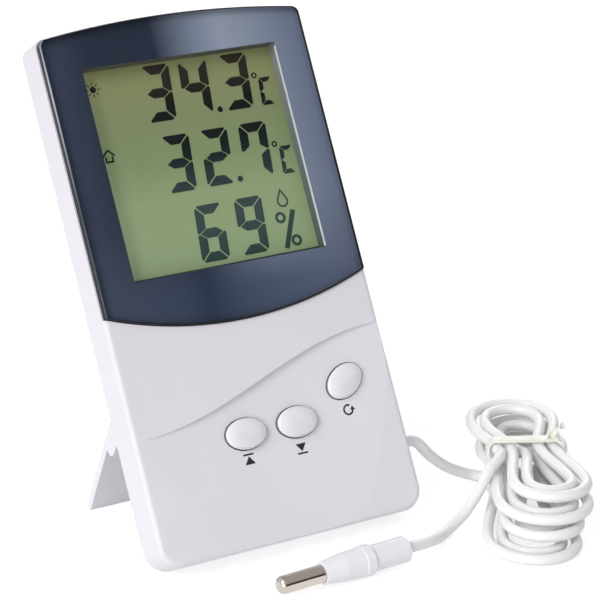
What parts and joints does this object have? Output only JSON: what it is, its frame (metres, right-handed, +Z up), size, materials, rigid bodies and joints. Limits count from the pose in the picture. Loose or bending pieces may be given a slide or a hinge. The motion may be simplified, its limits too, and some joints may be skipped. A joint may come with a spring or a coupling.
{
  "type": "digital thermo-hygrometer",
  "caption": "Handheld electronic thermometer and humidity meter leaning on a fold-out stand, with an outdoor temperature probe on a lead tied in a hank.",
  "frame": {"origin": "on the table under the middle of the case's footprint, case leaned back on its foot and its open stand", "axes": "+Z up, +Y away from the face towards the stand, +X to the right of someone who reads the display"},
  "size_m": [0.1014, 0.0897, 0.0979],
  "materials": {
    "case": "fine satin",
    "lens": "glossy clear plastic window",
    "mask": "printed film",
    "display": "grey-green liquid crystal display",
    "steel": "nickel plated",
    "white_plastic": "satin",
    "contact_rubber": "matte",
    "board": "solder mask",
    "chip": "potting resin",
    "sensor": "satin",
    "key": "glossy",
    "battery": "satin sleeve",
    "switch": "satin",
    "lead": "soft satin",
    "tie": "coated wire tie",
    "probe_metal": "polished nickel"
  },
  "bodies": {
    "case": {"front_shell": "case", "rear_shell": "case", "display_lens": "lens", "mask_film": "mask", "lcd_cell": "display", "lcd_reflector": "steel", "lcd_frame": "white_plastic", "contact_strip": "contact_rubber", "circuit_board": "board", "controller_chip": "chip", "humidity_sensor": "sensor", "air_thermistor": "sensor", "key_mat": "contact_rubber", "case_screws": "steel", "board_screws": "steel", "battery_cell": "battery", "battery_spring": "steel", "battery_plate": "steel", "lead_bush": "key", "lead_from_case": "lead", "lead_hank": "lead", "lead_tie": "tie", "lead_to_probe": "lead", "probe_sleeve": "key", "probe_tip": "probe_metal"},
    "key_max": {"key_max": "key"},
    "key_min": {"key_min": "key"},
    "key_reset": {"key_reset": "key"},
    "stand": {"stand": "case"},
    "battery_door": {"battery_door": "case"},
    "unit_switch": {"unit_switch": "switch"}
  },
  "joints": [
    {"name": "key_max_press", "type": "slide", "parent": "case", "child": "key_max", "axis": [0, 0.8729, -0.4879], "range_m": [0, 0.0006], "stiffness_N_per_m": 1500, "springref_m": -0.0002},
    {"name": "key_min_press", "type": "slide", "parent": "case", "child": "key_min", "axis": [0, 0.8729, -0.4879], "range_m": [0, 0.0006], "stiffness_N_per_m": 1500, "springref_m": -0.0002},
    {"name": "key_reset_press", "type": "slide", "parent": "case", "child": "key_reset", "axis": [0, 0.8729, -0.4879], "range_m": [0, 0.0006], "stiffness_N_per_m": 1500, "springref_m": -0.0002},
    {"name": "stand_fold", "type": "hinge", "parent": "case", "child": "stand", "pos_m": [0, -0.00449, 0.02394], "axis": [-1, 0, 0], "range_deg": [0, 56.8]},
    {"name": "battery_door_slide", "type": "slide", "parent": "case", "child": "battery_door", "axis": [0, 0.4879, 0.8729], "range_m": [0, 0.015]},
    {"name": "unit_switch_slide", "type": "slide", "parent": "case", "child": "unit_switch", "axis": [1, 0, 0], "range_m": [0, 0.002]}
  ]
}
